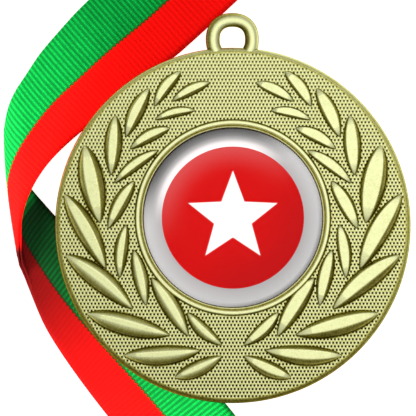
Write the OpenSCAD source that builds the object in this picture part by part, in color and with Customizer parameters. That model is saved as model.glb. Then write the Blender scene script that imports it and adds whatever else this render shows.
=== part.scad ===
// Award medal lying face up on its folded neck ribbon.
// Origin: centre of the eye that is cast at the top of the medal.
// +X right across the face, +Y out through the eye, +Z out of the face.

/* [Medal] */
// Diameter of the cast disc
medal_d = 50; // [48:1:52]
// Thickness of the disc at its stippled field
medal_t = 2.2; // [2:0.1:2.6]
// Radius of the rounding round the disc's edge
edge_r = 0.6; // [0.4:0.1:0.8]
// Radius of the eye's hole
eye_r = 1.8; // [1.7:0.05:1.9]
// Thickness of the bar that bends round the eye
eye_bar = 1.85; // [1.6:0.05:1.9]
// Distance from the disc's centre to the centre of the eye
eye_reach = 26.25; // [26.2:0.05:26.4]
// Height of the laurel leaves above the field
leaf_h = 0.45; // [0.3:0.05:0.6]

/* [Centre insert] */
// Diameter of the recess that takes the insert
recess_d = 25.5; // [25.2:0.1:25.6]
// Depth of the recess below the field
recess_depth = 1; // [0.8:0.1:1.2]
// Distance of the recess above the disc's centre
recess_rise = 1.1; // [0.8:0.1:1.4]
// Width of the raised ring round the recess
rim_w = 0.9; // [0.8:0.1:1.1]
// Thickness of the printed plate
plate_t = 0.4; // [0.3:0.1:0.6]
// Thickness of the adhesive pad under the plate
pad_t = 0.2; // [0.1:0.05:0.3]
// Height of the clear dome at its crown
dome_h = 1.2; // [1:0.1:1.5]

/* [Ribbon] */
// Thickness of one layer of ribbon
ribbon_t = 0.4; // [0.3:0.02:0.4]
// Width of the ribbon where it is folded into the hank
ribbon_w = 14; // [13.5:0.25:14]
// Length of one run of the hank
hank_l = 43.6; // [40:0.2:44]
// Number of doubled runs on top of each other in the hank
hank_runs = 6; // [5:1:6]
// Width of the paper band round the hank
band_w = 12; // [8:1:16]
// Thickness of the paper band
band_t = 0.12; // [0.1:0.02:0.12]

/* [Clamp and ring] */
// Thickness of the clamp's sheet metal
sheet_t = 0.45; // [0.4:0.05:0.5]
// Width of the clamp where it grips the ribbon
clamp_w = 15; // [14.5:0.25:16]
// Length of the clamp from its barrel to its mouth
clamp_l = 7.5; // [7:0.25:8]
// Diameter of the ring's wire
wire_d = 1.2; // [1:0.1:1.2]
// Radius of the ring's bow along the middle of the wire
bow_r = 4; // [3.8:0.1:4.4]
// Radial play of the ring's bar in the barrel
bar_play = 0.08; // [0.05:0.01:0.1]

/* [Hidden] */
$fn = 96;

gold = [0.80, 0.78, 0.44];
steel = [0.78, 0.78, 0.76];

// Gap left between two pieces that lie on each other
rest_gap = 0.02;

// Heights. The eye's bar is centred on z = 0.
back_z = -1.25;
field_z = back_z + medal_t;
floor_of_recess = field_z - recess_depth;
plate_z = floor_of_recess + pad_t;
dome_z = plate_z + plate_t;
medal_r = medal_d / 2;
recess_r = recess_d / 2;

// The doubled ribbon, as it is laid and as it is stacked in the hank
band2_t = 2 * ribbon_t + 2 * rest_gap;
run_pitch = band2_t + 1.5 * rest_gap;
hank_h = hank_runs * run_pitch;
stack_h = 2 * band_t + hank_h + 3 * rest_gap;
ground_z = back_z - rest_gap - stack_h;
hank_z = ground_z + band_t + rest_gap;

// The clamp lies on the ground, along the last stretch of ribbon
clamp_turn = 38;
barrel_at = [0.3, -38.2];
barrel_bore_r = wire_d / 2 + bar_play;
barrel_r = barrel_bore_r + sheet_t;
barrel_w = 2 * bow_r - wire_d - 0.4;
slot_from = 1.8;
grip_l = 4;

// The ring's bow dips until it rests on the ground
ring_dip = asin((barrel_r - wire_d / 2) / bow_r);

// The hank lies under the disc
hank_turn = -46.5;
hank_at = [0.7, 0.8];

// Share of the ribbon's width that is green
green_share = 0.55;

// Route of the doubled ribbon's middle surface. Each station is the green edge, the colour change
// and the red edge, from the disc's centre, and the height above the ground.
lower_strand = [
    [[-1.3, -24.9], [-7.4, -29.6], [-12.3, -33.4], 0.8],
    [[-7.3, -17.8], [-13.2, -22.9], [-17.9, -26.8], 0.47],
    [[-14.2, -10.1], [-19.3, -16.1], [-22.8, -20.3], 0.47],
    [[-20.4, -3.9], [-24.1, -10.4], [-26.3, -14.9], 0.5],
    [[-25.5, 1.7], [-27.4, -5.7], [-28.1, -10.9], 0.65],
    [[-29.2, 6.0], [-29.8, -1.7], [-29.0, -8.0], 1.0],
    [[-31.4, 9.4], [-31.1, 2.0], [-29.6, -6.4], 1.6],
    [[-31.95, 13.2], [-31.5, 5.5], [-30.0, -5.2], 2.7]];
upper_strand = [
    [[-31.85, 14.9], [-31.25, 7.3], [-30.1, -2.3], 3.7],
    [[-31.45, 16.9], [-30.75, 9.2], [-29.9, 0.8], 4.3],
    [[-30.6, 19.0], [-29.6, 11.6], [-28.7, 4.5], 4.7],
    [[-29.0, 21.5], [-27.4, 14.8], [-26.3, 8.4], 4.8],
    [[-27.2, 24.2], [-24.9, 17.7], [-23.0, 11.8], 4.8],
    [[-24.5, 27.4], [-21.4, 21.0], [-18.6, 15.4], 4.7],
    [[-21.5, 30.7], [-17.4, 24.7], [-14.0, 19.1], 4.2],
    [[-16.8, 35.2], [-11.7, 29.5], [-7.3, 24.6], 2.9],
    [[-11.9, 39.6], [-6.6, 34.2], [-2.0, 29.4], 1.8],
    [[-8.7, 42.3], [-3.3, 36.9], [1.2, 32.4], 1.45]];
return_strand = [
    [[-11.9, 39.6], [-6.6, 34.2], [-2.0, 29.4], 0.75],
    [[-16.8, 35.2], [-11.7, 29.5], [-7.3, 24.6], 1.5]];
far_fold = [[-8.7, 42.3], [-3.3, 36.9], [1.2, 32.4]];
far_fold_way = 43;
side_fold = [[-19.5, 32.4], [-19.8, 22.9], [-20.1, 14.3]];
side_fold_way = 182;

// Tip, base and width of each leaf on the left of the disc
leaves = [
    [[-7.4, 21.6], [-11.0, 16.8], 1.6], [[-11.8, 19.2], [-15.0, 12.5], 2.2],
    [[-16.5, 15.4], [-17.1, 7.1], 2.3], [[-20.8, 11.2], [-18.7, 0.4], 3.3],
    [[-23.6, 4.3], [-17.9, -6.0], 2.9], [[-23.4, -4.2], [-14.1, -11.7], 2.9],
    [[-20.4, -12.4], [-8.9, -15.4], 2.6], [[-15.2, -18.3], [-4.6, -17.6], 2.3],
    [[-8.1, -21.4], [-1.6, -18.4], 1.9], [[-3.3, 20.1], [-8.5, 17.5], 1.5],
    [[-5.4, 16.2], [-10.9, 14.9], 1.2], [[-8.9, 13.7], [-14.4, 10.8], 1.7],
    [[-10.6, 10.5], [-16.6, 6.0], 1.5], [[-13.9, 6.2], [-17.5, -0.4], 2.0],
    [[-15.0, 0.1], [-15.9, -7.3], 1.8], [[-13.9, -3.5], [-12.2, -11.2], 2.0],
    [[-11.4, -7.4], [-6.3, -15.5], 2.2], [[-6.4, -12.3], [-1.6, -16.8], 1.6]];

module at_disc() {
    translate([0, -eye_reach, 0]) children();
}

module at_insert() {
    translate([0, recess_rise - eye_reach, 0]) children();
}

module at_hank() {
    translate([hank_at.x, hank_at.y - eye_reach, hank_z]) rotate([0, 0, hank_turn]) children();
}

module at_barrel() {
    translate([barrel_at.x, barrel_at.y - eye_reach, ground_z + barrel_r])
        rotate([0, 0, clamp_turn]) children();
}

// ---- medal ----

module disc_profile() {
    for (z = [back_z + edge_r, field_z - edge_r]) translate([medal_r - edge_r, z]) circle(edge_r, $fn = 32);
    translate([0, back_z]) square([medal_r - edge_r, medal_t]);
    translate([0, back_z + edge_r]) square([medal_r, medal_t - 2 * edge_r]);
}

module raised_ring() {
    rotate_extrude() translate([recess_r + rim_w / 2, field_z]) circle(rim_w / 2, $fn = 24);
}

// A leaf is where two equal circles overlap
module leaf(tip, base, width) {
    along = base - tip;
    arc_r = (pow(norm(along), 2) / 4 + pow(width, 2) / 4) / width;
    translate([(tip.x + base.x) / 2, (tip.y + base.y) / 2, field_z - 0.2])
        rotate([0, 0, atan2(along.y, along.x)])
            linear_extrude(leaf_h + 0.2) intersection() {
                translate([0, arc_r - width / 2]) circle(arc_r);
                translate([0, width / 2 - arc_r]) circle(arc_r);
            }
}

module wreath_half() {
    for (l = leaves) leaf(l[0], l[1], l[2]);
}

// The eye's bar is round, with a short straight land inside
module eye_ring() {
    rotate_extrude() intersection() {
        translate([eye_r + eye_bar / 2 - 0.08, 0]) circle(eye_bar / 2, $fn = 32);
        translate([eye_r, -eye_bar]) square([2 * eye_bar, 2 * eye_bar]);
    }
}

// Straight feet from the eye's sides down into the disc
module eye_feet() {
    for (side = [-1, 1]) translate([side * (eye_r + eye_bar / 2 - 0.08), -2.6, 0])
        rotate([-90, 0, 0]) cylinder(h = 2.6, r = eye_bar / 2 - 0.02, $fn = 32);
}

// The hole stops at a flat just inside the disc's edge
module eye_hole() {
    intersection() {
        cylinder(h = 4, r = eye_r, center = true);
        translate([-eye_r - 1, -0.9 * eye_r, -3]) cube([2 * eye_r + 2, 2 * eye_r + 2, 6]);
    }
}

module medal_body() color(gold) {
    difference() {
        union() {
            at_disc() rotate_extrude() disc_profile();
            at_insert() raised_ring();
            at_disc() wreath_half();
            at_disc() mirror([1, 0, 0]) wreath_half();
            eye_ring();
            eye_feet();
        }
        at_insert() translate([0, 0, floor_of_recess]) cylinder(h = 3, r = recess_r);
        eye_hole();
    }
}

// ---- centre insert ----

module insert_adhesive_pad() color("white") {
    at_insert() translate([0, 0, floor_of_recess]) cylinder(h = pad_t, r = recess_r - 0.55);
}

module insert_plate() color([0.80, 0.05, 0.08]) {
    at_insert() translate([0, 0, plate_z]) cylinder(h = plate_t, r = recess_r - 0.15);
}

// A shallow cap of a large sphere on a short straight edge
module insert_dome() color([0.9, 0.9, 0.9, 0.4]) {
    dome_r = recess_r - 0.15;
    edge_h = 0.35;
    cap_h = dome_h - edge_h;
    ball_r = (pow(dome_r, 2) + pow(cap_h, 2)) / (2 * cap_h);
    at_insert() translate([0, 0, dome_z]) rotate_extrude() intersection() {
        square([dome_r, dome_h + 1]);
        translate([0, dome_h - ball_r]) circle(ball_r, $fn = 1440);
    }
}

// ---- ribbon ----

function turned(p, a) = [p.x * cos(a) - p.y * sin(a), p.x * sin(a) + p.y * cos(a)];

// A cross-line of the ribbon, square to it, from its middle point and the way to its green edge
function square_line(mid, way) = [for (w = [0.5, 0.5 - green_share, -0.5]) mid + ribbon_w * w * way];

function clamp_station(u) = concat(
    square_line(barrel_at + turned([0, u], clamp_turn), turned([1, 0], clamp_turn)), [barrel_r]);

function hank_station() = concat(
    square_line(hank_at + turned([-hank_l / 2 - rest_gap, 0], hank_turn), turned([0, 1], hank_turn)),
    [band_t + rest_gap + run_pitch / 2]);

// A flat fold: the cross-line goes round a half circle and comes back at another height
function fold(line, way, z_from, z_to) = [
    for (a = [90:-30:-90])
        let (r = (z_from - z_to) / 2, out = abs(r) * cos(a) * [cos(way), sin(way)])
        [line[0] + out, line[1] + out, line[2] + out, (z_from + z_to) / 2 + r * sin(a)]];

// Catmull-Rom blend of four values
function blend4(a, b, c, d, t) =
    ((2 * b) + (c - a) * t + (2 * a - 5 * b + 4 * c - d) * pow(t, 2)
    + (3 * b - a - 3 * c + d) * pow(t, 3)) / 2;

// A station between stations i and i + 1 of a route
function station_at(route, i, t) =
    let (n = len(route) - 1, a = route[max(i - 1, 0)], b = route[i],
         c = route[min(i + 1, n)], d = route[min(i + 2, n)])
    [for (k = [0:3]) blend4(a[k], b[k], c[k], d[k], t)];

function smooth(route, steps) = concat(
    [for (i = [0:len(route) - 2], s = [0:steps - 1]) station_at(route, i, s / steps)],
    [route[len(route) - 1]]);

function solid_point(st, k) = [st[k].x, st[k].y - eye_reach, st[3] + ground_z];
function unit(v) = v / norm(v);

// The middle surface's normal at edge or colour change k of station i
function normal_at(route, i, k) =
    let (n = len(route) - 1)
    unit(cross(
        solid_point(route[min(i + 1, n)], k) - solid_point(route[max(i - 1, 0)], k),
        solid_point(route[i], 2) - solid_point(route[i], 0)));

// One closed ring of six points round the doubled ribbon at station i
function ring_at(route, i) = concat(
    [for (k = [0:2]) solid_point(route[i], k) + band2_t / 2 * normal_at(route, i, k)],
    [for (k = [2:-1:0]) solid_point(route[i], k) - band2_t / 2 * normal_at(route, i, k)]);

module strip(route) {
    n = len(route);
    points = [for (i = [0:n - 1]) each ring_at(route, i)];
    sides = [for (i = [0:n - 2], k = [0:5])
        let (a = 6 * i + k, b = 6 * i + (k + 1) % 6) each [[a, a + 6, b + 6], [a, b + 6, b]]];
    first_end = [[0, 1, 4, 5], [1, 2, 3, 4]];
    last_end = [[6 * n - 1, 6 * n - 2, 6 * n - 5, 6 * n - 6], [6 * n - 2, 6 * n - 3, 6 * n - 4, 6 * n - 5]];
    polyhedron(points, concat(sides, first_end, last_end), convexity = 10);
}

laid_route = concat(
    [clamp_station(clamp_l - grip_l + 0.1), clamp_station(clamp_l - 0.2)],
    smooth(concat([clamp_station(clamp_l + 0.5)], lower_strand, upper_strand), 3),
    fold(far_fold, far_fold_way, 1.45, 0.5),
    return_strand,
    fold(side_fold, side_fold_way, 1.55, hank_station()[3]),
    [hank_station()]);

module ribbon_strand() color([0.85, 0.10, 0.12]) {
    strip(laid_route);
}

module ribbon_hank() color([0.05, 0.55, 0.22]) {
    at_hank() translate([-hank_l / 2, -ribbon_w / 2, 0]) cube([hank_l, ribbon_w, hank_h]);
}

module paper_band() color([0.93, 0.92, 0.88]) {
    inner = [band_w, ribbon_w + 2 * rest_gap, hank_h + 2 * rest_gap];
    at_hank() translate([-band_w / 2, -inner.y / 2, -rest_gap]) difference() {
        translate([0, -band_t, -band_t]) cube([inner.x, inner.y + 2 * band_t, inner.z + 2 * band_t]);
        translate([-1, 0, 0]) cube([inner.x + 2, inner.y, inner.z]);
    }
}

// ---- clamp and ring ----

// Side view of the folded sheet: u along the ribbon from the barrel, v up
module clamp_section() {
    half = band2_t / 2 + rest_gap;
    difference() {
        union() {
            circle(barrel_r, $fn = 48);
            translate([0, -half - sheet_t]) square([clamp_l, 2 * (half + sheet_t)]);
        }
        circle(barrel_bore_r, $fn = 48);
        translate([slot_from, -half]) square([clamp_l, 2 * half]);
    }
}

// Plan of the clamp: narrow at the barrel, full width over the grip
module clamp_plan() {
    polygon([[-barrel_w / 2, -barrel_r - 1], [barrel_w / 2, -barrel_r - 1],
             [barrel_w / 2, barrel_r], [clamp_w / 2, clamp_l - grip_l],
             [clamp_w / 2, clamp_l], [-clamp_w / 2, clamp_l],
             [-clamp_w / 2, clamp_l - grip_l], [-barrel_w / 2, barrel_r]]);
}

module ribbon_clamp() color(steel) {
    at_barrel() intersection() {
        rotate([90, 0, 90]) linear_extrude(clamp_w, center = true) clamp_section();
        translate([0, 0, -3]) linear_extrude(6) clamp_plan();
    }
}

// A straight bar in the barrel and a half-round bow, with the joint of the wire in the bow
module ribbon_ring() color(steel) {
    joint_gap = 0.1;
    corner_r = wire_d / 2 + 0.04;
    at_barrel() rotate([ring_dip, 0, 0]) {
        rotate([0, 90, 0]) cylinder(h = 2 * bow_r, r = wire_d / 2, center = true, $fn = 48);
        for (side = [-1, 1]) translate([side * bow_r, 0, 0]) sphere(corner_r, $fn = 32);
        difference() {
            rotate([0, 0, 180]) rotate_extrude(angle = 180)
                translate([bow_r, 0]) circle(wire_d / 2, $fn = 32);
            rotate([0, 0, 30]) translate([-joint_gap / 2, -bow_r - 2, -2]) cube([joint_gap, 4, 4]);
        }
    }
}

medal_body();
insert_adhesive_pad();
insert_plate();
insert_dome();
ribbon_strand();
ribbon_hank();
paper_band();
ribbon_clamp();
ribbon_ring();
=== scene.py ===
"""An award medal that lies face up on its folded neck ribbon.

Lengths are in millimetres until mesh() scales them. Inside the materials they are in metres, unless they are
divided by MM first."""
import math

import bpy
import numpy as np
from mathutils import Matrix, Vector


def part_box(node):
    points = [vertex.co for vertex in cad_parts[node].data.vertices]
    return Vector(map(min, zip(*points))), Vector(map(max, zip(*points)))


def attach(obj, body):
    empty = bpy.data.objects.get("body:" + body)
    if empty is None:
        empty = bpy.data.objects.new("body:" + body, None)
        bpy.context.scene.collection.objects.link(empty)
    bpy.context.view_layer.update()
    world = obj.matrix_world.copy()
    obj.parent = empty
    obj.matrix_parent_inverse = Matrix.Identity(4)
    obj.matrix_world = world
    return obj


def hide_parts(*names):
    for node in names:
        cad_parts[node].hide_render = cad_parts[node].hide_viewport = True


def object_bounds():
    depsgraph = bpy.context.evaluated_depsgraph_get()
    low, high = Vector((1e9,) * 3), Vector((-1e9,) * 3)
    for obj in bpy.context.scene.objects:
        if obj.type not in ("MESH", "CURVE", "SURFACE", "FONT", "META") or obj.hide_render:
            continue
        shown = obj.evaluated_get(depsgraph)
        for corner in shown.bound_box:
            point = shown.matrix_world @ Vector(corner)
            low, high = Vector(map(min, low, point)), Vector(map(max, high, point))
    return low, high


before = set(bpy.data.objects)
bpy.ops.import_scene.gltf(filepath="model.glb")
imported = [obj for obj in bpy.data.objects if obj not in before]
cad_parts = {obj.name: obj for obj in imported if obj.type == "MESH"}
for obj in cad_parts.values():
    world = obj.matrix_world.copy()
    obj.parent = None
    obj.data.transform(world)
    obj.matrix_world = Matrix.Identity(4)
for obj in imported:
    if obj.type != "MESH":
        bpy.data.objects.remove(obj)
cad_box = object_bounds()

MM = 0.001


# ---- places, from the frame ----

def box_mm(node):
    """A node's lowest and highest corners in millimetres."""
    low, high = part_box(node)
    return np.array(low) / MM, np.array(high) / MM


body_low, body_high = box_mm("medal_body")
DISC_R = (body_high[0] - body_low[0]) / 2
DISC_AT = np.array([0.0, body_low[1] + DISC_R])
BACK_Z = body_low[2]
EYE_REACH = -DISC_AT[1]
GROUND_Z = cad_box[0][2] / MM

pad_low = box_mm("insert_adhesive_pad")[0]
plate_low, plate_high = box_mm("insert_plate")
dome_low, dome_high = box_mm("insert_dome")
INSERT_AT = (plate_low[:2] + plate_high[:2]) / 2
INSERT_UP = INSERT_AT[1] - DISC_AT[1]
PLATE_R = (plate_high[0] - plate_low[0]) / 2
# A hairline gap is left between the plate and the recess's wall
RECESS_R = PLATE_R + 0.08
RECESS_Z = pad_low[2]
# The casting's thickness at its stippled field, as in the CAD source
CASTING_T = 2.2
FIELD_Z = BACK_Z + CASTING_T


# ---- mesh helpers ----

def mesh(name, verts, faces, smooth=True):
    """A new object from points in millimetres and a list of faces."""
    data = bpy.data.meshes.new(name)
    data.from_pydata((np.asarray(verts) * MM).tolist(), [], faces)
    data.validate()
    data.polygons.foreach_set("use_smooth", [smooth] * len(data.polygons))
    obj = bpy.data.objects.new(name, data)
    bpy.context.scene.collection.objects.link(obj)
    return obj


def tube_faces(rows, columns):
    """Quads of closed rings of points, with a face on each end."""
    i = np.arange(rows - 1)[:, None] * columns
    j = np.arange(columns)[None, :]
    k = (j + 1) % columns
    quads = np.stack([i + columns + j, i + columns + k, i + k, i + j], -1).reshape(-1, 4)
    last = (rows - 1) * columns
    return quads.tolist() + [list(range(columns)), list(range(last + columns - 1, last - 1, -1))]


def vertex_value(obj, name, values):
    """Stores one number per vertex."""
    layer = obj.data.attributes.new(name, "FLOAT", "POINT")
    layer.data.foreach_set("value", np.asarray(values, dtype=np.float32).ravel())


def smoothstep(x):
    """0 below 0 and 1 above 1, smooth between."""
    x = np.clip(x, 0.0, 1.0)
    return x * x * (3 - 2 * x)


# ---- material helpers ----

class Nodes:
    """Short calls that add and link shader nodes."""

    def __init__(self, name):
        self.material = bpy.data.materials.new(name)
        self.material.use_nodes = True
        self.tree = self.material.node_tree
        self.tree.nodes.clear()
        self.out = self.add("ShaderNodeOutputMaterial")
        self.shader = self.add("ShaderNodeBsdfPrincipled")
        self.tree.links.new(self.shader.outputs[0], self.out.inputs["Surface"])

    def add(self, kind, **settings):
        """A new node with the given settings."""
        node = self.tree.nodes.new(kind)
        for key, value in settings.items():
            setattr(node, key, value)
        return node

    def feed(self, socket, value):
        """Links a socket to the value, or sets it where the value is a number or a colour."""
        if isinstance(value, bpy.types.NodeSocket):
            self.tree.links.new(value, socket)
        else:
            socket.default_value = value

    def math(self, operation, *values):
        """One arithmetic step on numbers or sockets."""
        node = self.add("ShaderNodeMath", operation=operation)
        for socket, value in zip(node.inputs, values):
            self.feed(socket, value)
        return node.outputs[0]

    def step(self, value, low, high):
        """0 below low and 1 above high, smooth between."""
        node = self.add("ShaderNodeMapRange", interpolation_type="SMOOTHSTEP")
        for key, number in (("Value", value), ("From Min", low), ("From Max", high)):
            self.feed(node.inputs[key], number)
        return node.outputs["Result"]

    def blend(self, share, first, second):
        """The first colour where share is 0, and the second where it is 1."""
        node = self.add("ShaderNodeMix", data_type="RGBA")
        self.feed(node.inputs["Factor"], share)
        for socket, colour in ((node.inputs[6], first), (node.inputs[7], second)):
            self.feed(socket, colour if isinstance(colour, bpy.types.NodeSocket) else (*colour, 1.0))
        return node.outputs[2]

    def ramp(self, value, *stops):
        """A colour by value, from stops of a place and a colour."""
        node = self.add("ShaderNodeValToRGB")
        marks = node.color_ramp.elements
        while len(marks) < len(stops):
            marks.new(0.5)
        for mark, (place, colour) in zip(marks, stops):
            mark.position = place
            mark.color = (*colour, 1.0)
        self.feed(node.inputs["Fac"], value)
        return node.outputs["Color"]

    def noise(self, scale, detail=3.0, vector=None):
        """Noise around 0.5, by place where no vector is given."""
        node = self.add("ShaderNodeTexNoise")
        node.inputs["Scale"].default_value = scale
        node.inputs["Detail"].default_value = detail
        self.feed(node.inputs["Vector"], vector or self.place())
        return node.outputs["Fac"]

    def place(self):
        """The point's place in the object's own frame, in metres."""
        return self.add("ShaderNodeTexCoord").outputs["Object"]

    def split(self, vector):
        """A vector's x, y and z."""
        node = self.add("ShaderNodeSeparateXYZ")
        self.feed(node.inputs[0], vector)
        return node.outputs

    def wave(self, value, pitch, kind="COSINE"):
        """A wave between 0 and 1."""
        turns = self.math("MULTIPLY", value, 2 * math.pi / pitch)
        return self.math("MULTIPLY_ADD", self.math(kind, turns), 0.5, 0.5)

    def value_of(self, name):
        """What vertex_value stored under the name."""
        return self.add("ShaderNodeAttribute", attribute_name=name).outputs["Fac"]

    def bump(self, height, distance, strength=1.0):
        """Roughens the surface's shading by a height, scaled to a distance in metres."""
        node = self.add("ShaderNodeBump")
        node.inputs["Strength"].default_value = strength
        node.inputs["Distance"].default_value = distance
        self.feed(node.inputs["Height"], height)
        self.feed(self.shader.inputs["Normal"], node.outputs["Normal"])

    def set(self, **sockets):
        """Feeds the shader's sockets by name, with underscores for spaces."""
        for key, value in sockets.items():
            self.feed(self.shader.inputs[key.replace("_", " ")], value)


def dress(obj, material):
    """Gives an object the material as its only one."""
    obj.data.materials.clear()
    obj.data.materials.append(material)


# ---- the medal's casting ----

# Radius of the disc's rounded edge
EDGE_R = 0.6
# Width of the raised ring round the recess
RIM_W = 1.10
# Points round the disc, and from the recess to the edge over the ring and over the field
COLUMNS = 1600
RIM_ROWS = 22
ROWS = 125
# The raised ring's height and painted shading, outwards from the recess: a thin lip, a groove and the ring
# itself.
# The shading is painted light and shade in the plating's colour: 1 for a painted highlight on what stands
# up, 0 for painted shade deep in a hollow
RING_HEIGHT = [(0.0, 0.14), (0.08, 0.24), (0.16, 0.22), (0.25, 0.08), (0.32, 0.10), (0.42, 0.34),
               (0.54, 0.42), (0.90, 0.42), (1.02, 0.26), (1.10, 0.0)]
RING_SHADING = [(0.0, 0.80), (0.06, 1.0), (0.16, 0.80), (0.22, 0.42), (0.30, 0.40), (0.38, 0.85), (0.46, 1.0),
             (0.90, 1.0), (1.00, 0.55), (1.10, 0.10)]

# The stipple's pitch along a row and from row to row
DOT_PITCH_X = 0.503
DOT_PITCH_Y = 0.500
DOT_H = 0.014
PIT_DEPTH = 0.10

# Each leaf of the wreath's left half: tip, base, width, sideways bow, and how far its flat top reaches
LEAVES = [
    ((-7.4, 21.6), (-11.0, 16.8), 1.7, 0.35, 0.50), ((-11.8, 19.2), (-15.0, 12.5), 2.1, 0.25, 0.45),
    ((-16.5, 15.4), (-17.1, 7.1), 2.3, 0.0, 0.42), ((-20.8, 11.2), (-18.7, 0.4), 3.3, 0.0, 0.45),
    ((-23.6, 4.3), (-17.9, -6.0), 2.9, -0.25, 0.42), ((-23.4, -4.2), (-14.1, -11.7), 2.9, -0.35, 0.30),
    ((-20.4, -12.4), (-8.9, -15.4), 2.9, 0.15, 0.22), ((-15.2, -18.3), (-4.6, -17.6), 2.6, 0.35, 0.22),
    ((-8.1, -21.4), (-1.6, -18.4), 2.1, 0.2, 0.22), ((-3.3, 20.1), (-8.5, 17.5), 1.5, 0.25, 0.50),
    ((-5.4, 16.2), (-10.9, 14.9), 1.3, 0.35, 0.50), ((-8.9, 13.7), (-14.4, 10.8), 1.7, 0.35, 0.48),
    ((-10.6, 10.5), (-16.6, 6.0), 1.6, 0.35, 0.48), ((-13.9, 6.2), (-17.5, -0.4), 2.0, 0.2, 0.45),
    ((-15.0, 0.1), (-15.9, -7.3), 1.8, 0.25, 0.42), ((-13.9, -3.5), (-12.2, -11.2), 2.0, -0.1, 0.38),
    ((-11.4, -7.4), (-6.3, -15.5), 2.4, -0.15, 0.36), ((-6.4, -12.3), (-1.6, -16.8), 1.8, 0.3, 0.30)]


def leaf_relief(x, y, tip, base, width, bow, flat, shade_way):
    """Height, painted shading and relative distance from the spine, for one leaf, at points near it.

    The last argument is the way to the leaf's lower side, where its slope is broader and painted darker, as
    painted shade."""
    tip, base = np.array(tip), np.array(base)
    length = np.linalg.norm(base - tip)
    way = (base - tip) / length
    u = ((x - tip[0]) * way[0] + (y - tip[1]) * way[1]) / length
    side = -(x - tip[0]) * way[1] + (y - tip[1]) * way[0]
    safe = np.clip(u, 1e-4, 1 - 1e-4)
    side = side + bow * np.sin(math.pi * safe)
    half = width / 2 * (4 * safe ** 0.92 * (1 - safe ** 0.92)) ** 0.78 + 0.03
    past = np.maximum(np.maximum(-u, u - 1), 0) * length
    q = np.hypot(side, past) / half
    slant = np.sign(side) * (way[0] * shade_way[1] - way[1] * shade_way[0])
    edge = np.clip(flat - 0.20 * slant, 0.04, 0.86)
    fall = np.clip((q - edge) / (1 - edge), 0, 1)
    # the edge of a broad flat top is crisp, and that of a rounded leaf is not
    soft = 0.28 if flat >= 0.4 else 0.75
    peak = 0.34 + 0.10 * min(width, 3.0)
    taper = np.clip(half / (0.34 * width), 0, 1) ** 0.7
    height = np.where(q < 1, (0.14 + peak * (1 - fall ** 1.7)) * (0.30 + 0.70 * taper), 0.0)
    # painted shade: the slopes are darker than the flat top, more so on the lower side, and darkest in the
    # crease at the leaf's foot
    slope_tone = 0.45 + 0.12 * slant
    bright = 0.96 - slope_tone * smoothstep(fall / soft) - 0.50 * smoothstep((fall - 0.84) / 0.16)
    return height, bright, q


def stipple_height(x, y):
    """Rows of round pits between low dots, each row half a pitch along from the next."""
    dots = np.cos(2 * math.pi * x / DOT_PITCH_X) * np.cos(math.pi * y / DOT_PITCH_Y)
    between_rows = 0.5 - 0.5 * np.cos(2 * math.pi * y / DOT_PITCH_Y)
    return DOT_H * np.maximum(dots, 0) - PIT_DEPTH * smoothstep(0.15 - dots - between_rows)


def face_relief(x, y):
    """Height above the field, painted shading and share of stipple over the whole face, from the disc's
    centre.
    """
    from_edge = DISC_R - EDGE_R - np.hypot(x, y)
    from_recess = np.hypot(x, y - INSERT_UP) - RECESS_R
    stipple = smoothstep(from_edge / 0.35 + 0.25) * smoothstep((from_recess - RIM_W) / 0.15)
    height = stipple_height(x, y) * stipple
    bright = np.full_like(x, 0.45)
    for mirrored in (1, -1):
        for tip, base, width, bow, flat in LEAVES:
            from_middle = np.hypot(x * mirrored - (tip[0] + base[0]) / 2, y - (tip[1] + base[1]) / 2)
            reach = from_middle < math.dist(tip, base) / 2 + 0.8
            # the right half's leaves are worn flatter
            flat_top = flat if mirrored > 0 else min(flat + 0.22, 0.74)
            shade_way = (0.45 * mirrored, -0.9)
            h, b, q = leaf_relief(x[reach] * mirrored, y[reach], tip, base, width, bow, flat_top, shade_way)
            on = (q < 1) & (h >= height[reach])
            # painted shadow: a dark ring round each leaf, where little of the stipple shows
            beside = (q >= 1) & (q < 1.15)
            height[reach] = np.where(on, h, height[reach])
            bright[reach] = np.where(on, b, np.where(beside, 0.12, bright[reach]))
            stipple[reach] = np.where(on, 0.0, np.where(beside, stipple[reach] * 0.35, stipple[reach]))
    on_rim = (from_recess >= -0.01) & (from_recess <= RIM_W)
    height = np.where(on_rim, np.interp(from_recess, *zip(*RING_HEIGHT)), height)
    bright = np.where(on_rim, np.interp(from_recess, *zip(*RING_SHADING)), bright)
    return height, bright, stipple


def disc_ring(r, z, up=0.0):
    """A circle of points round the disc's centre, or round one a little above it."""
    turn = np.linspace(0, 2 * math.pi, COLUMNS, endpoint=False)
    return np.stack([r * np.cos(turn), r * np.sin(turn) + up, np.broadcast_to(z, COLUMNS)], -1)


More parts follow.
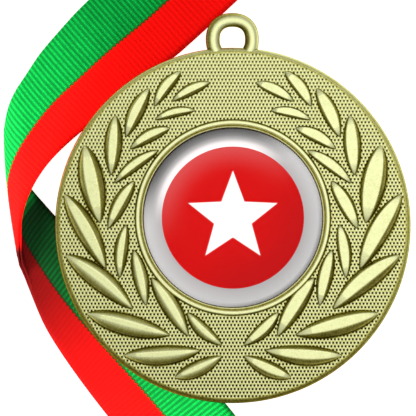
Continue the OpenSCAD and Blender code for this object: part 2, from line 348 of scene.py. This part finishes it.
def make_casting():
    """Face, edge, back and recess as one closed mesh, with the eye's bar as a second shell."""
    ray = disc_ring(1.0, 0.0)
    span = DISC_R - RECESS_R
    across = np.concatenate([np.linspace(0, RIM_W, RIM_ROWS), np.linspace(RIM_W, span - EDGE_R, ROWS)[1:]])
    share = (across / span)[:, None]
    x = (RECESS_R + span * share) * ray[None, :, 0]
    y = (RECESS_R + span * share) * ray[None, :, 1] + INSERT_UP * (1 - share)
    height, bright, stipple = face_relief(x, y)

    recess = ((3.0, RECESS_Z), (RECESS_R, RECESS_Z), (RECESS_R, FIELD_Z - 0.25))
    rings = [disc_ring(r, z, INSERT_UP) for r, z in recess]
    tones = [np.full(COLUMNS, 0.65)] * len(rings)
    face_from = len(rings) * COLUMNS
    rings += list(np.stack([x, y, FIELD_Z + height], -1))
    tones += list(bright)
    edge_height = rings[-1][:, 2] - FIELD_Z
    # painted light on the disc's rounded edge: darker further round it, lighter towards the disc's top,
    # darker towards its bottom and a little lighter at its right
    for angle in np.radians([15, 32, 50, 70, 90]):
        z = FIELD_Z - EDGE_R + (EDGE_R + edge_height) * math.cos(angle)
        rings.append(disc_ring(DISC_R - EDGE_R + EDGE_R * math.sin(angle), z))
        tones.append(0.65 - 0.22 * math.sin(angle) + 0.25 * ray[:, 1] + 0.05 * ray[:, 0])
    for angle in np.radians([90, 65, 40, 20, 0]):
        z = BACK_Z + EDGE_R - EDGE_R * math.cos(angle)
        rings.append(disc_ring(DISC_R - EDGE_R + EDGE_R * math.sin(angle), z))
        tones.append(np.full(COLUMNS, 0.5))
    for r in (DISC_R - EDGE_R) * np.linspace(1, 0, 12)[1:-1]:
        rings.append(disc_ring(r, BACK_Z))
        tones.append(np.full(COLUMNS, 0.62))

    points = np.concatenate(rings)
    points[:, :2] += DISC_AT
    faces = tube_faces(len(rings), COLUMNS)
    bar_points, bar_faces, bar_tone = eye_bar()
    faces += [[k + len(points) for k in f] for f in bar_faces]
    tones.append(bar_tone)
    obj = mesh("medal_casting", np.concatenate([points, bar_points]), faces)
    vertex_value(obj, "tone", np.concatenate(tones))
    dotted = np.zeros(len(points) + len(bar_points))
    dotted[face_from:face_from + stipple.size] = stipple.ravel()
    vertex_value(obj, "stipple", dotted)
    return obj


# The eye's bar: radius of its bend, half its width and half its height
BEND_R = 2.76
BAR_HALF_W = 0.98
BAR_HALF_H = 0.93
BAR_AT = np.array([-0.08, EYE_REACH - 0.1])
# Its right foot, outwards from the bend: place, spread and height, which sinks into the disc
FOOT = np.array([[2.12, -0.5], [2.05, -1.0], [2.05, -1.6], [2.15, -2.3]])
FOOT_SPREAD = [1.02, 1.14, 1.35, 1.55]
FOOT_HEIGHT = [0.97, 0.90, 0.80, 0.70]


def softened(x, power):
    """Squares off a sine or cosine a little."""
    return np.sign(x) * np.abs(x) ** power


def eye_bar():
    """A rounded bar bent round the eye, whose feet spread into the disc: points, faces and painted shading.
    """
    angles = np.radians(np.linspace(-33, 213, 61))
    middle = BAR_AT + BEND_R * softened(np.stack([np.cos(angles), np.sin(angles)], -1), 0.88)
    right_foot = np.array([0, middle[0, 1]]) + FOOT[::-1]
    left_foot = np.array([0, middle[-1, 1]]) + FOOT * [-1, 1]
    path = np.concatenate([right_foot, middle, left_foot])
    bend = [1.0] * len(middle)
    wide = np.array(FOOT_SPREAD[::-1] + bend + FOOT_SPREAD)
    tall = np.array(FOOT_HEIGHT[::-1] + bend + FOOT_HEIGHT)
    way = np.gradient(path, axis=0)
    way /= np.linalg.norm(way, axis=1)[:, None]
    side = np.stack([way[:, 1], -way[:, 0]], -1)
    turn = np.linspace(0, 2 * math.pi, 36, endpoint=False)
    out = softened(np.cos(turn), 0.85)
    xy = path[:, None, :] + side[:, None, :] * (out * BAR_HALF_W)[None, :, None] * wide[:, None, None]
    z = tall[:, None] * (softened(np.sin(turn), 0.85) * BAR_HALF_H)[None, :]
    points = np.concatenate([xy, z[..., None]], -1).reshape(-1, 3)
    points[:, :2] += DISC_AT
    # a painted highlight runs along the bar nearer its right-hand side, all the way round, with painted
    # shade on its sides and darker painted shade on its inner wall
    lean = 0.26 * np.clip((path[:, 0] - BAR_AT[0]) / BEND_R, -1, 1)
    off_highlight = np.abs(out[None, :] - lean[:, None])
    inner_wall_shade = smoothstep((-0.6 - out) / 0.3)
    tone = 1.0 - 0.60 * smoothstep((off_highlight - 0.35) / 0.5) - 0.25 * inner_wall_shade[None, :]
    return points, tube_faces(len(path), len(turn)), tone.ravel()


def gold_material():
    """Pale gold plating, coloured with painted light and shade: bright on what stands up, olive and duller
    in the hollows and on slopes, with painted shade in the stipple's pits.
    """
    n = Nodes("pale_gold_plating")
    place = n.split(n.place())
    x = n.math("MULTIPLY", place[0], 2 * math.pi / DOT_PITCH_X / MM)
    up = n.math("SUBTRACT", place[1], DISC_AT[1] * MM)
    y = n.math("MULTIPLY", up, math.pi / DOT_PITCH_Y / MM)
    cos_x = n.math("COSINE", x)
    # painted shade fills the stipple's pits, and spreads a little wider towards the bottom of the disc
    wave = n.math("MULTIPLY_ADD", cos_x, n.math("COSINE", y), n.math("MULTIPLY", up, 14.0))
    rows = n.math("MULTIPLY_ADD", n.math("COSINE", n.math("MULTIPLY", y, 2.0)), -0.5, 0.5)
    open_pit = n.step(n.math("ADD", wave, rows), -0.42, 0.14)
    # a painted highlight on the dots between the pits, a little below their middles
    shine = n.math("MULTIPLY", cos_x, n.math("COSINE", n.math("ADD", y, 0.6)))
    dots = n.math("MULTIPLY", open_pit, n.math("MULTIPLY_ADD", n.step(shine, 0.0, 0.85), 0.42, 0.74))
    share = n.value_of("stipple")
    smooth = n.math("MULTIPLY", n.value_of("tone"), n.math("SUBTRACT", 1.0, share))
    tone = n.math("MULTIPLY_ADD", dots, share, smooth)
    # uneven polish, and the casting's fine grain
    for fac, middle, depth in ((n.noise(900, 4.0), 0.5, 0.16), (n.noise(4200, 2.0), 0.52, 0.45)):
        tone = n.math("MULTIPLY_ADD", n.math("SUBTRACT", fac, middle), depth, tone)
    colour = n.ramp(tone, (0.0, (0.018, 0.013, 0.001)), (0.30, (0.20, 0.165, 0.02)),
                    (0.62, (0.57, 0.55, 0.15)), (0.95, (0.92, 0.95, 0.49)))
    n.set(Base_Color=colour, Metallic=1.0, Specular_Tint=(0.60, 0.56, 0.30, 1))
    n.set(Roughness=n.math("ADD", 0.27, n.math("MULTIPLY", n.noise(2200, 2.0), 0.14)))
    n.bump(n.noise(7000, 4.0), 0.000012, 0.6)
    return n.material


# ---- the centre insert ----

# Radius of the red disc, reach of the star's points, and the star's waist as a share of that
PRINT_R = 10.0
STAR_R = 6.6
STAR_WAIST = 0.42


def radius(n, x, y):
    """Distance from the plate's centre."""
    return n.math("SQRT", n.math("ADD", n.math("MULTIPLY", x, x), n.math("MULTIPLY", y, y)))


def toward(n, x, y, way_x, way_y):
    """Cosine of the angle between a point's direction from the centre and a given one."""
    along = n.math("ADD", n.math("MULTIPLY", x, way_x), n.math("MULTIPLY", y, way_y))
    return n.math("DIVIDE", along, radius(n, x, y))


def print_material():
    """Printed plate: red disc with a white star, on a grey surround that is darker at its upper left as a
    painted shadow.
    There is also a painted highlight next to the red disc's upper left, and painted shade along the
    surround's lower right edge and at the red disc's lower right.
    """
    n = Nodes("printed_centre_painted_light")
    place = n.split(n.place())
    x = n.math("DIVIDE", n.math("SUBTRACT", place[0], INSERT_AT[0] * MM), MM)
    y = n.math("DIVIDE", n.math("SUBTRACT", place[1], INSERT_AT[1] * MM), MM)
    r = radius(n, x, y)
    # how far round a point lies towards the plate's upper left, and towards its lower right
    lit = toward(n, x, y, -0.42, 0.91)
    low = toward(n, x, y, 0.72, -0.69)
    # grey surround with painted shade at its outer edge, a painted shadow at its upper left and a painted
    # highlight next to the red disc's upper left
    out = n.math("DIVIDE", n.math("SUBTRACT", r, PRINT_R), PLATE_R - PRINT_R)
    plain = n.ramp(out, (0.0, (0.43, 0.43, 0.435)), (0.75, (0.55, 0.55, 0.555)), (1.0, (0.50, 0.50, 0.505)))
    edged = n.ramp(out, (0.0, (0.41, 0.415, 0.42)), (0.75, (0.54, 0.54, 0.545)), (1.0, (0.22, 0.22, 0.22)))
    greys = ((0.0, 0.95), (0.25, 0.80), (0.42, 0.42), (0.62, 0.21), (0.80, 0.13), (1.0, 0.09))
    shaded = n.ramp(out, *[(at, (grey, grey, grey)) for at, grey in greys])
    surround = n.blend(n.step(lit, 0.30, 0.86), n.blend(n.step(low, 0.35, 0.95), plain, edged), shaded)
    # red disc, a little paler along the painted highlight and deeper opposite, as painted shade
    red_highlight = n.math("MULTIPLY", n.step(lit, 0.0, 0.9), n.math("POWER", n.step(r, 5.5, PRINT_R + 0.6), 1.6))
    depth = n.math("MULTIPLY", n.step(low, 0.0, 0.9), n.step(r, 3.0, 9.5))
    red = n.blend(depth, (0.57, 0.0008, 0.0008), (0.49, 0.002, 0.003))
    red = n.blend(n.math("MULTIPLY", red_highlight, 0.09), red, (0.95, 0.80, 0.80))
    colour = n.blend(n.math("LESS_THAN", r, PRINT_R), surround, red)
    colour = n.blend(star_mask(n, x, y), colour, (0.93, 0.94, 0.94))
    n.set(Base_Color=colour, Metallic=0.0, Roughness=0.45, Specular_IOR_Level=0.02)
    n.bump(n.noise(5000, 2.0), 0.000004, 0.4)
    return n.material


def star_mask(n, x, y):
    """1 inside a five-pointed star."""
    angle = n.math("ARCTAN2", x, y)
    sector = 2 * math.pi / 5
    turned_angle = n.math("FLOORED_MODULO", n.math("ADD", angle, sector / 2), sector)
    folded = n.math("ABSOLUTE", n.math("SUBTRACT", turned_angle, sector / 2))
    r = radius(n, x, y)
    u = n.math("MULTIPLY", r, n.math("COSINE", folded))
    v = n.math("MULTIPLY", r, n.math("SINE", folded))
    waist = (STAR_R * STAR_WAIST * math.cos(sector / 2), STAR_R * STAR_WAIST * math.sin(sector / 2))
    run = (waist[0] - STAR_R, waist[1])
    size = math.hypot(*run)
    outside = n.math("ADD", n.math("MULTIPLY", n.math("SUBTRACT", u, STAR_R), -run[1] / size),
                     n.math("MULTIPLY", v, run[0] / size))
    return n.math("SUBTRACT", 1.0, n.step(n.math("MULTIPLY", outside, -1.0), -0.03, 0.03))


def make_dome():
    """A poured cap with a rounded shoulder, whose foot is a hair inside the plate."""
    sides = 160
    shoulder_r = 0.35
    shoulder_z = 0.12
    outer_r = (dome_high[0] - dome_low[0]) / 2
    foot_z = dome_low[2] - 0.03
    crown = dome_high[2] - foot_z
    profile = [(outer_r - 0.06, 0.0), (outer_r, 0.06)]
    for angle in np.radians(np.linspace(0, 70, 7)):
        r = outer_r - shoulder_r + shoulder_r * math.cos(angle)
        profile.append((r, shoulder_z + shoulder_r * math.sin(angle)))
    edge_r, edge_z = profile[-1]
    for share in np.linspace(0, 1, 16)[1:-1]:
        profile.append((edge_r * (1 - share), edge_z + (crown - edge_z) * (1 - (1 - share) ** 2)))
    # the turn runs clockwise, so that the faces look outwards
    turn = np.linspace(0, -2 * math.pi, sides, endpoint=False)
    circle = np.stack([np.cos(turn), np.sin(turn), np.zeros(sides)], -1)
    points = np.concatenate([circle * r + [0, 0, foot_z + z] for r, z in profile])
    points[:, :2] += INSERT_AT
    return mesh("clear_dome", points, tube_faces(len(profile), sides))


def dome_material():
    """Clear resin: lets all light through and only mirrors at its surface."""
    n = Nodes("clear_poured_resin")
    n.tree.nodes.remove(n.shader)
    clear = n.add("ShaderNodeBsdfTransparent")
    clear.inputs[0].default_value = (0.985, 0.988, 0.985, 1)
    gloss = n.add("ShaderNodeBsdfAnisotropic")
    gloss.inputs["Roughness"].default_value = 0.06
    gloss.inputs["Color"].default_value = (0.95, 0.95, 0.95, 1)
    fresnel = n.add("ShaderNodeFresnel")
    fresnel.inputs["IOR"].default_value = 1.22
    mix = n.add("ShaderNodeMixShader")
    ripple = n.add("ShaderNodeBump")
    ripple.inputs["Distance"].default_value = 0.00002
    ripple.inputs["Strength"].default_value = 0.3
    n.feed(ripple.inputs["Height"], n.noise(120, 1.0))
    n.feed(gloss.inputs["Normal"], ripple.outputs[0])
    n.feed(mix.inputs[0], fresnel.outputs[0])
    n.feed(mix.inputs[1], clear.outputs[0])
    n.feed(mix.inputs[2], gloss.outputs[0])
    n.feed(n.out.inputs["Surface"], mix.outputs[0])
    return n.material


# ---- the ribbon ----

# The route's stations, as in the CAD source: green edge, colour change, red edge, height
LOWER_STRAND = [
    ((-1.3, -24.9), (-7.4, -29.6), (-12.3, -33.4), 0.8),
    ((-7.3, -17.8), (-13.2, -22.9), (-17.9, -26.8), 0.47),
    ((-14.2, -10.1), (-19.3, -16.1), (-22.8, -20.3), 0.47),
    ((-20.4, -3.9), (-24.1, -10.4), (-26.3, -14.9), 0.5),
    ((-25.5, 1.7), (-27.4, -5.7), (-28.1, -10.9), 0.65),
    ((-29.2, 6.0), (-29.8, -1.7), (-29.0, -8.0), 1.0),
    ((-31.4, 9.4), (-31.1, 2.0), (-29.6, -6.4), 1.6),
    ((-31.95, 13.2), (-31.5, 5.5), (-30.0, -5.2), 2.7)]
UPPER_STRAND = [
    ((-31.85, 14.9), (-31.25, 7.3), (-30.1, -2.3), 3.7),
    ((-31.45, 16.9), (-30.75, 9.2), (-29.9, 0.8), 4.3),
    ((-30.6, 19.0), (-29.6, 11.6), (-28.7, 4.5), 4.7),
    ((-29.0, 21.5), (-27.4, 14.8), (-26.3, 8.4), 4.8),
    ((-27.2, 24.2), (-24.9, 17.7), (-23.0, 11.8), 4.8),
    ((-24.5, 27.4), (-21.4, 21.0), (-18.6, 15.4), 4.7),
    ((-21.5, 30.7), (-17.4, 24.7), (-14.0, 19.1), 4.2),
    ((-16.8, 35.2), (-11.7, 29.5), (-7.3, 24.6), 2.9),
    ((-11.9, 39.6), (-6.6, 34.2), (-2.0, 29.4), 1.8),
    ((-8.7, 42.3), (-3.3, 36.9), (1.2, 32.4), 1.45)]
RETURN_STRAND = [
    ((-11.9, 39.6), (-6.6, 34.2), (-2.0, 29.4), 0.75),
    ((-16.8, 35.2), (-11.7, 29.5), (-7.3, 24.6), 1.5)]
# The flat folds: the line that each lies along, and the compass way that its bulge points
FAR_FOLD = ((-8.7, 42.3), (-3.3, 36.9), (1.2, 32.4))
FAR_FOLD_WAY = 43
SIDE_FOLD = ((-19.5, 32.4), (-19.8, 22.9), (-20.1, 14.3))
SIDE_FOLD_WAY = 182
FOLD_STEPS = 13
# Share of the width that is green
GREEN_SHARE = 0.55
RIBBON_W = 14.0
# Thickness of the woven strip, and the gap between its two layers
LAYER_T = 0.38
LAYER_GAP = 0.03
RIB_PITCH = 0.67
# Height of a rib from its valley
RIB_H = 0.024
# Painted shade on the lower strand: how open to light it is painted, by its share of the way from the clamp
# to the left fold
SHELTER = [(0.0, 1.0), (0.12, 0.95), (0.30, 0.72), (0.50, 0.36), (0.70, 0.145), (0.85, 0.065), (0.88, 0.065),
           (0.93, 1.0)]
# The clamp and its barrel, which hold the ribbon's ends
BARREL_AT = np.array([0.3, -38.2])
BARREL_R = 1.13
CLAMP_TURN = math.radians(38)
CLAMP_L = 7.5
GRIP_L = 4.0
# The hank: runs of doubled ribbon folded on each other, in a paper band
HANK_AT = np.array([0.7, 0.8])
HANK_TURN = math.radians(-46.5)
HANK_L = 43.6
HANK_RUNS = 6
RUN_PITCH = 0.87
TURN_INSET = 1.0
BAND_T = 0.12
HANK_Z = BAND_T + 0.02 + RUN_PITCH / 2
# Stations made from each given one
SMOOTH = 24
# Distance between the mesh's rows, and the places of its columns from the green edge (0) to the red one (1)
ROW_STEP = 0.15
ACROSS = np.linspace(0, 1, 19)


def turned(x, y, angle):
    """A vector turned anticlockwise by an angle in radians."""
    return np.array([x * math.cos(angle) - y * math.sin(angle), x * math.sin(angle) + y * math.cos(angle)])


def station(green, change, red, height):
    """One station as a 3 by 3 array."""
    return np.array([[*p, height] for p in (green, change, red)])


def square_station(mid, way, height):
    """A station square to the ribbon, from its middle point and the way to its green edge."""
    return np.array([[*(mid + RIBBON_W * w * way), height] for w in (0.5, 0.5 - GREEN_SHARE, -0.5)])


def clamp_station(u):
    """The station at a distance from the clamp's barrel, along its centre line."""
    return square_station(BARREL_AT + turned(0, u, CLAMP_TURN), turned(1, 0, CLAMP_TURN), BARREL_R)


def fold(line, way, z_from, z_to):
    """Stations round a flat fold."""
    stations = []
    middle_z = (z_from + z_to) / 2
    r = (z_from - z_to) / 2
    for a in np.radians(np.linspace(90, -90, FOLD_STEPS)):
        out = turned(abs(r) * math.cos(a), 0, math.radians(way))
        stations.append(station(*[np.array(p) + out for p in line], middle_z + r * math.sin(a)))
    return stations


def catmull_rom(stations, steps):
    """More stations on a smooth curve through the given ones."""
    s = np.array(stations)
    last = len(s) - 1
    out = []
    for i in range(last):
        a, b, c, d = s[max(i - 1, 0)], s[i], s[i + 1], s[min(i + 2, last)]
        for t in np.arange(steps) / steps:
            out.append((2 * b + (c - a) * t + (2 * a - 5 * b + 4 * c - d) * t ** 2
                        + (3 * b - a - 3 * c + d) * t ** 3) / 2)
    return out + [s[last]]


def ribbon_stations():
    """Every station in order, from the clamp to the hank's lowest run."""
    laid = [clamp_station(CLAMP_L + 0.5)] + [station(*s) for s in LOWER_STRAND + UPPER_STRAND]
    stations = [clamp_station(CLAMP_L - GRIP_L + 0.1), clamp_station(CLAMP_L - 0.2)]
    stations += catmull_rom(laid, SMOOTH)
    stations += fold(FAR_FOLD, FAR_FOLD_WAY, 1.45, 0.5)
    stations += [station(*s) for s in RETURN_STRAND]
    stations += fold(SIDE_FOLD, SIDE_FOLD_WAY, 1.55, HANK_Z)
    near_end = HANK_AT - turned(HANK_L / 2, 0, HANK_TURN)
    stations.append(square_station(near_end, turned(0, 1, HANK_TURN), HANK_Z))
    return np.array(stations)


def hank_runs():
    """The hank's runs from the lowest up, with the turns between them, by row and column."""
    xs = []
    zs = []
    turn = np.radians(np.linspace(-90, 90, 9))[1:-1]
    for run in range(HANK_RUNS):
        sign = 1 if run % 2 == 0 else -1
        start = HANK_L / 2 - (TURN_INSET if run else 0)
        z = HANK_Z + run * RUN_PITCH
        xs.append(sign * np.linspace(-start, HANK_L / 2 - TURN_INSET, 14))
        zs.append(np.full(14, z))
        if run < HANK_RUNS - 1:
            xs.append(xs[-1][-1] + sign * RUN_PITCH / 2 * np.cos(turn))
            zs.append(z + RUN_PITCH / 2 * (1 + np.sin(turn)))
    centre = HANK_AT + np.concatenate(xs)[:, None] * turned(1, 0, HANK_TURN)
    aside = ((0.5 - ACROSS) * RIBBON_W)[None, :, None] * turned(0, 1, HANK_TURN)
    grid = np.empty((len(centre), len(ACROSS), 3))
    grid[..., :2] = centre[:, None] + aside
    grid[..., 2] = np.concatenate(zs)[:, None]
    return grid


def ribbon_middle():
    """Middle surface of the doubled ribbon by row and column, each row's distance, and the left fold's."""
    stations = ribbon_stations()
    green, change, red = (stations[:, k, None] for k in range(3))
    # a parabola through the three points of each station
    w = ACROSS[None, :, None]
    lines = (green * (w - GREEN_SHARE) * (w - 1) / GREEN_SHARE
             - change * w * (w - 1) / (GREEN_SHARE * (1 - GREEN_SHARE))
             + red * w * (w - GREEN_SHARE) / (1 - GREEN_SHARE))
    step = np.linalg.norm(np.diff(lines, axis=0), axis=2)
    reach = np.concatenate([np.zeros((1, len(ACROSS))), np.cumsum(step, axis=0)])
    # ribs lie along the station lines at the square stations, and share out the difference between them
    left_fold = 2 + SMOOTH * len(LOWER_STRAND)
    far_fold = left_fold + SMOOTH * len(UPPER_STRAND)
    square = [0, *range(2 + SMOOTH, 3 + SMOOTH * 3, SMOOTH)]
    square += range(far_fold - 2 * SMOOTH, far_fold + 1, SMOOTH)
    return_at = far_fold + FOLD_STEPS
    square += [return_at, return_at + 2, return_at + 2 + FOLD_STEPS, len(lines) - 1]
    mean = reach.mean(axis=1)
    along = np.stack([np.interp(column, column[square], mean[square]) for column in reach.T], -1)
    distance = np.arange(0, mean[-1], ROW_STEP)
    laid = np.empty((len(distance), len(ACROSS), 3))
    for k in range(len(ACROSS)):
        for axis in range(3):
            laid[:, k, axis] = np.interp(distance, along[:, k], lines[:, k, axis])
    grid = np.concatenate([laid, hank_runs()])
    hops = np.linalg.norm(np.diff(grid[len(laid) - 1:, 0], axis=0), axis=1)
    distance = np.concatenate([distance, mean[-1] + np.cumsum(hops)])
    grid[..., 1] -= EYE_REACH
    grid[..., 2] += GROUND_Z
    return grid, distance, along[left_fold].mean()


def make_ribbon():
    """One closed strip: out along the route as one layer, round the loop's end, and back as the other."""
    grid, distance, to_fold = ribbon_middle()
    ahead = np.gradient(grid, axis=0)
    normal = np.cross(ahead, np.gradient(grid, axis=1))
    normal /= np.linalg.norm(normal, axis=2)[..., None]
    ahead /= np.linalg.norm(ahead, axis=2)[..., None]
    off = (LAYER_T + LAYER_GAP) / 2
    a = np.radians(np.linspace(0, 180, 9))[1:-1]
    turn = normal[-1] * np.cos(a)[:, None, None] + ahead[-1] * np.sin(a)[:, None, None]
    middle = np.concatenate([grid + off * normal, grid[-1] + off * turn, (grid - off * normal)[::-1]])
    out = np.concatenate([normal, turn, -normal[::-1]])
    end = distance[-1]
    along = np.concatenate([distance, end + off * a, 2 * end + off * math.pi - distance[::-1]])

    # the strip's outer side is ribbed, its inner side less so, and both thin out at the edges
    rib = 0.5 + 0.5 * np.cos(2 * math.pi * along / RIB_PITCH)
    relief = RIB_H * (rib - 0.5)[:, None] * np.ones(len(ACROSS))
    relief[:, [0, -1]] *= 0.2
    thin = np.ones(len(ACROSS))
    thin[[0, -1]] = 0.55
    top = middle + out * ((LAYER_T / 2 + relief) * thin)[..., None]
    low = middle - out * ((LAYER_T / 2 + relief * 0.3) * thin)[..., None]
    rings = np.concatenate([top, low[:, ::-1]], axis=1)
    count, columns = rings.shape[:2]
    obj = mesh("neck_ribbon", rings.reshape(-1, 3), tube_faces(count, columns))
    across = np.concatenate([ACROSS, ACROSS[::-1]])
    vertex_value(obj, "across", np.tile(across * RIBBON_W, count))
    vertex_value(obj, "along", np.repeat(along, columns))
    # painted shade, darker on the lower strand towards the left fold
    share = np.minimum(along, along[-1] - along) / to_fold
    vertex_value(obj, "shade", np.repeat(np.interp(share, *zip(*SHELTER)), columns))
    return obj, float(along[-1])


def ribbon_material():
    """Grosgrain: ribs across the ribbon, fine warp threads along it, green and red stripes, with painted
    light and shade on the ribs and threads.
    """
    n = Nodes("striped_grosgrain")
    across = n.value_of("across")
    along = n.value_of("along")
    rib = n.wave(along, RIB_PITCH)
    thread = n.wave(across, 0.27, "SINE")
    weave = n.add("ShaderNodeCombineXYZ")
    n.feed(weave.inputs[0], across)
    n.feed(weave.inputs[1], n.math("MULTIPLY", along, 1.5))
    slub = n.noise(2.6, 3.0, weave.outputs[0])
    patch = n.noise(0.35, 2.0, weave.outputs[0])
    # painted light and shade: the ribs' tops are painted lighter than their valleys, and the warp threads
    # lighter than the gaps between them, over random slubs and patches in the yarn
    ribs = n.math("MULTIPLY", n.math("POWER", rib, 1.3), n.math("MULTIPLY_ADD", slub, 0.7, 0.15))
    threads = n.math("MULTIPLY", n.math("MULTIPLY", thread, slub), 0.34)
    light = n.math("ADD", ribs, n.math("MULTIPLY_ADD", patch, 0.26, threads))
    green = n.ramp(light, (0.0, (0.0003, 0.095, 0.012)), (0.45, (0.0005, 0.235, 0.030)),
                   (1.0, (0.0015, 0.52, 0.066)))
    red = n.ramp(light, (0.0, (0.82, 0.0005, 0.0003)), (0.5, (0.93, 0.002, 0.001)),
                 (1.0, (0.99, 0.006, 0.001)))
    # the colours meet in small steps, a rib at a time, over a dark line where the threads cross
    at = n.math("MULTIPLY_ADD", n.step(rib, 0.25, 0.75), 0.16, across)
    meet = GREEN_SHARE * RIBBON_W + 0.08
    off_seam = n.math("ABSOLUTE", n.math("SUBTRACT", at, meet))
    seam = n.math("SUBTRACT", 1.0, n.step(off_seam, 0.04, 0.20))
    colour = n.blend(n.step(at, meet - 0.03, meet + 0.03), green, red)
    colour = n.blend(n.math("MULTIPLY", seam, 0.9), colour, (0.03, 0.03, 0.0))
    # painted shade on the lower strand, where the upper strand shadows it, towards the left fold
    colour = n.blend(n.value_of("shade"), (0, 0, 0), colour)
    n.set(Base_Color=colour, Roughness=0.75, Specular_IOR_Level=0.06)
    n.bump(n.math("MULTIPLY_ADD", thread, 0.5, slub), 0.00003, 0.6)
    return n.material


# ---- small pieces' materials ----

def plain_material(name, colour, roughness, metallic=0.0, grain=1500, depth=0.00001, vary=0.10):
    """A colour that varies a little, with a fine grain in its surface."""
    n = Nodes(name)
    dark = tuple(c * (1 - vary) for c in colour)
    n.set(Base_Color=n.blend(n.noise(grain, 3.0), dark, colour), Metallic=metallic)
    n.set(Roughness=n.math("ADD", roughness - 0.05, n.math("MULTIPLY", n.noise(grain * 0.4, 2.0), 0.1)))
    n.bump(n.noise(grain * 2, 4.0), depth, 0.5)
    return n.material


# ---- floor, lights and camera ----

# Width of the view and its centre from the disc's, with the camera straight above it
VIEW_W = 58.46
VIEW_AT = np.array([-3.5, 2.45])
CAMERA_UP = 800.0
SENSOR = 36.0
# The sky's level by how far a direction turns from the one away from the axis to the one along it
SKY_AXIS = (0.10, 0.22, 1.0)
SKY = [(0.0, 0.22), (0.55, 0.42), (0.85, 0.50), (1.0, 0.60)]
# Heights between which the bright band at the horizon fades into the sky
BAND_TOP = (0.09, 0.14)


def make_floor():
    """A pale floor that glows a little, like a light table."""
    size = 900
    z = GROUND_Z - 0.01
    corners = [(-size, -size, z), (size, -size, z), (size, size, z), (-size, size, z)]
    obj = mesh("floor", corners, [(0, 1, 2, 3)], False)
    n = Nodes("pale_floor")
    n.set(Base_Color=(0.90, 0.90, 0.90, 1), Roughness=0.9)
    n.set(Emission_Color=(1, 1, 1, 1), Emission_Strength=0.90)
    dress(obj, n.material)


def softbox(name, place, target, size, power, lit):
    """A rectangular light that lights only the given objects. Its power is in watts."""
    data = bpy.data.lights.new(name, "AREA")
    data.shape = "RECTANGLE"
    data.size = size[0] * MM
    data.size_y = size[1] * MM
    data.energy = power
    obj = bpy.data.objects.new(name, data)
    bpy.context.scene.collection.objects.link(obj)
    obj.location = Vector(place) * MM
    obj.visible_camera = False
    obj.rotation_euler = (Vector(target) - Vector(place)).to_track_quat("-Z", "Y").to_euler()
    group = bpy.data.collections.new(name + "_lights")
    for piece in lit:
        group.objects.link(piece)
    obj.light_linking.receiver_collection = group


def make_world():
    """A studio that is bright overhead and dimmer to the sides, with a bright band at the horizon."""
    world = bpy.data.worlds.new("studio")
    bpy.context.scene.world = world
    world.use_nodes = True
    tree = world.node_tree
    background = tree.nodes["Background"]
    coords = tree.nodes.new("ShaderNodeTexCoord")
    toward = tree.nodes.new("ShaderNodeVectorMath")
    toward.operation = "DOT_PRODUCT"
    toward.inputs[1].default_value = Vector(SKY_AXIS).normalized()
    ramp = tree.nodes.new("ShaderNodeValToRGB")
    marks = ramp.color_ramp.elements
    for _ in SKY[2:]:
        marks.new(0.5)
    for mark, (place, level) in zip(marks, SKY):
        mark.position = place
        mark.color = (level, level, level, 1)
    tree.links.new(coords.outputs["Generated"], toward.inputs[0])
    tree.links.new(toward.outputs["Value"], ramp.inputs[0])
    # a bright band just above the horizon, which carries the floor's white on
    height = tree.nodes.new("ShaderNodeSeparateXYZ")
    band = tree.nodes.new("ShaderNodeMapRange")
    band.interpolation_type = "SMOOTHSTEP"
    band.inputs["From Min"].default_value = BAND_TOP[0]
    band.inputs["From Max"].default_value = BAND_TOP[1]
    mix = tree.nodes.new("ShaderNodeMix")
    mix.data_type = "RGBA"
    mix.inputs[6].default_value = (1, 1, 1, 1)
    tree.links.new(coords.outputs["Generated"], height.inputs[0])
    tree.links.new(height.outputs["Z"], band.inputs["Value"])
    tree.links.new(band.outputs["Result"], mix.inputs["Factor"])
    tree.links.new(ramp.outputs[0], mix.inputs[7])
    tree.links.new(mix.outputs[2], background.inputs[0])


def make_camera():
    """A long lens straight above the medal."""
    data = bpy.data.cameras.new("camera")
    data.sensor_width = SENSOR
    data.lens = SENSOR * CAMERA_UP / VIEW_W
    data.clip_start = 0.01
    data.clip_end = 10
    obj = bpy.data.objects.new("camera", data)
    bpy.context.scene.collection.objects.link(obj)
    obj.location = Vector((*(DISC_AT + VIEW_AT), FIELD_Z + CAMERA_UP)) * MM
    bpy.context.scene.camera = obj


make_camera()
ribbon, ribbon_length = make_ribbon()
dress(ribbon, ribbon_material())
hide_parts("ribbon_strand", "ribbon_hank")
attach(ribbon, "ribbon")

casting = make_casting()
dress(casting, gold_material())
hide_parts("medal_body")
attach(casting, "medal")

dome = make_dome()
dress(dome, dome_material())
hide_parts("insert_dome")
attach(dome, "medal")

dress(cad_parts["insert_plate"], print_material())
dress(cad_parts["insert_adhesive_pad"], plain_material("white_foam", (0.85, 0.85, 0.82), 0.8))
dress(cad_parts["paper_band"], plain_material("band_paper", (0.84, 0.82, 0.76), 0.8, grain=900))
nickel = plain_material("bright_nickel", (0.80, 0.80, 0.78), 0.25, metallic=1.0, grain=700)
dress(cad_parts["ribbon_clamp"], nickel)
dress(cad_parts["ribbon_ring"], nickel)

make_floor()
make_world()
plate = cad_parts["insert_plate"]
softbox("metal_panel", (28, -8, 150), (22, -12, 0), (120, 120), 0.030, [casting])
softbox("left_lamp", (-95, -30, 40), (-28, -16, -4), (40, 40), 0.205, [ribbon])
softbox("near_lamp", (0, -125, 42), (-4, -52, -4), (60, 60), 0.33, [ribbon])
softbox("print_lamp", (-30, 30, 160), (0, -25, 0), (90, 90), 0.26, [plate])
bpy.context.scene.view_settings.view_transform = "Standard"
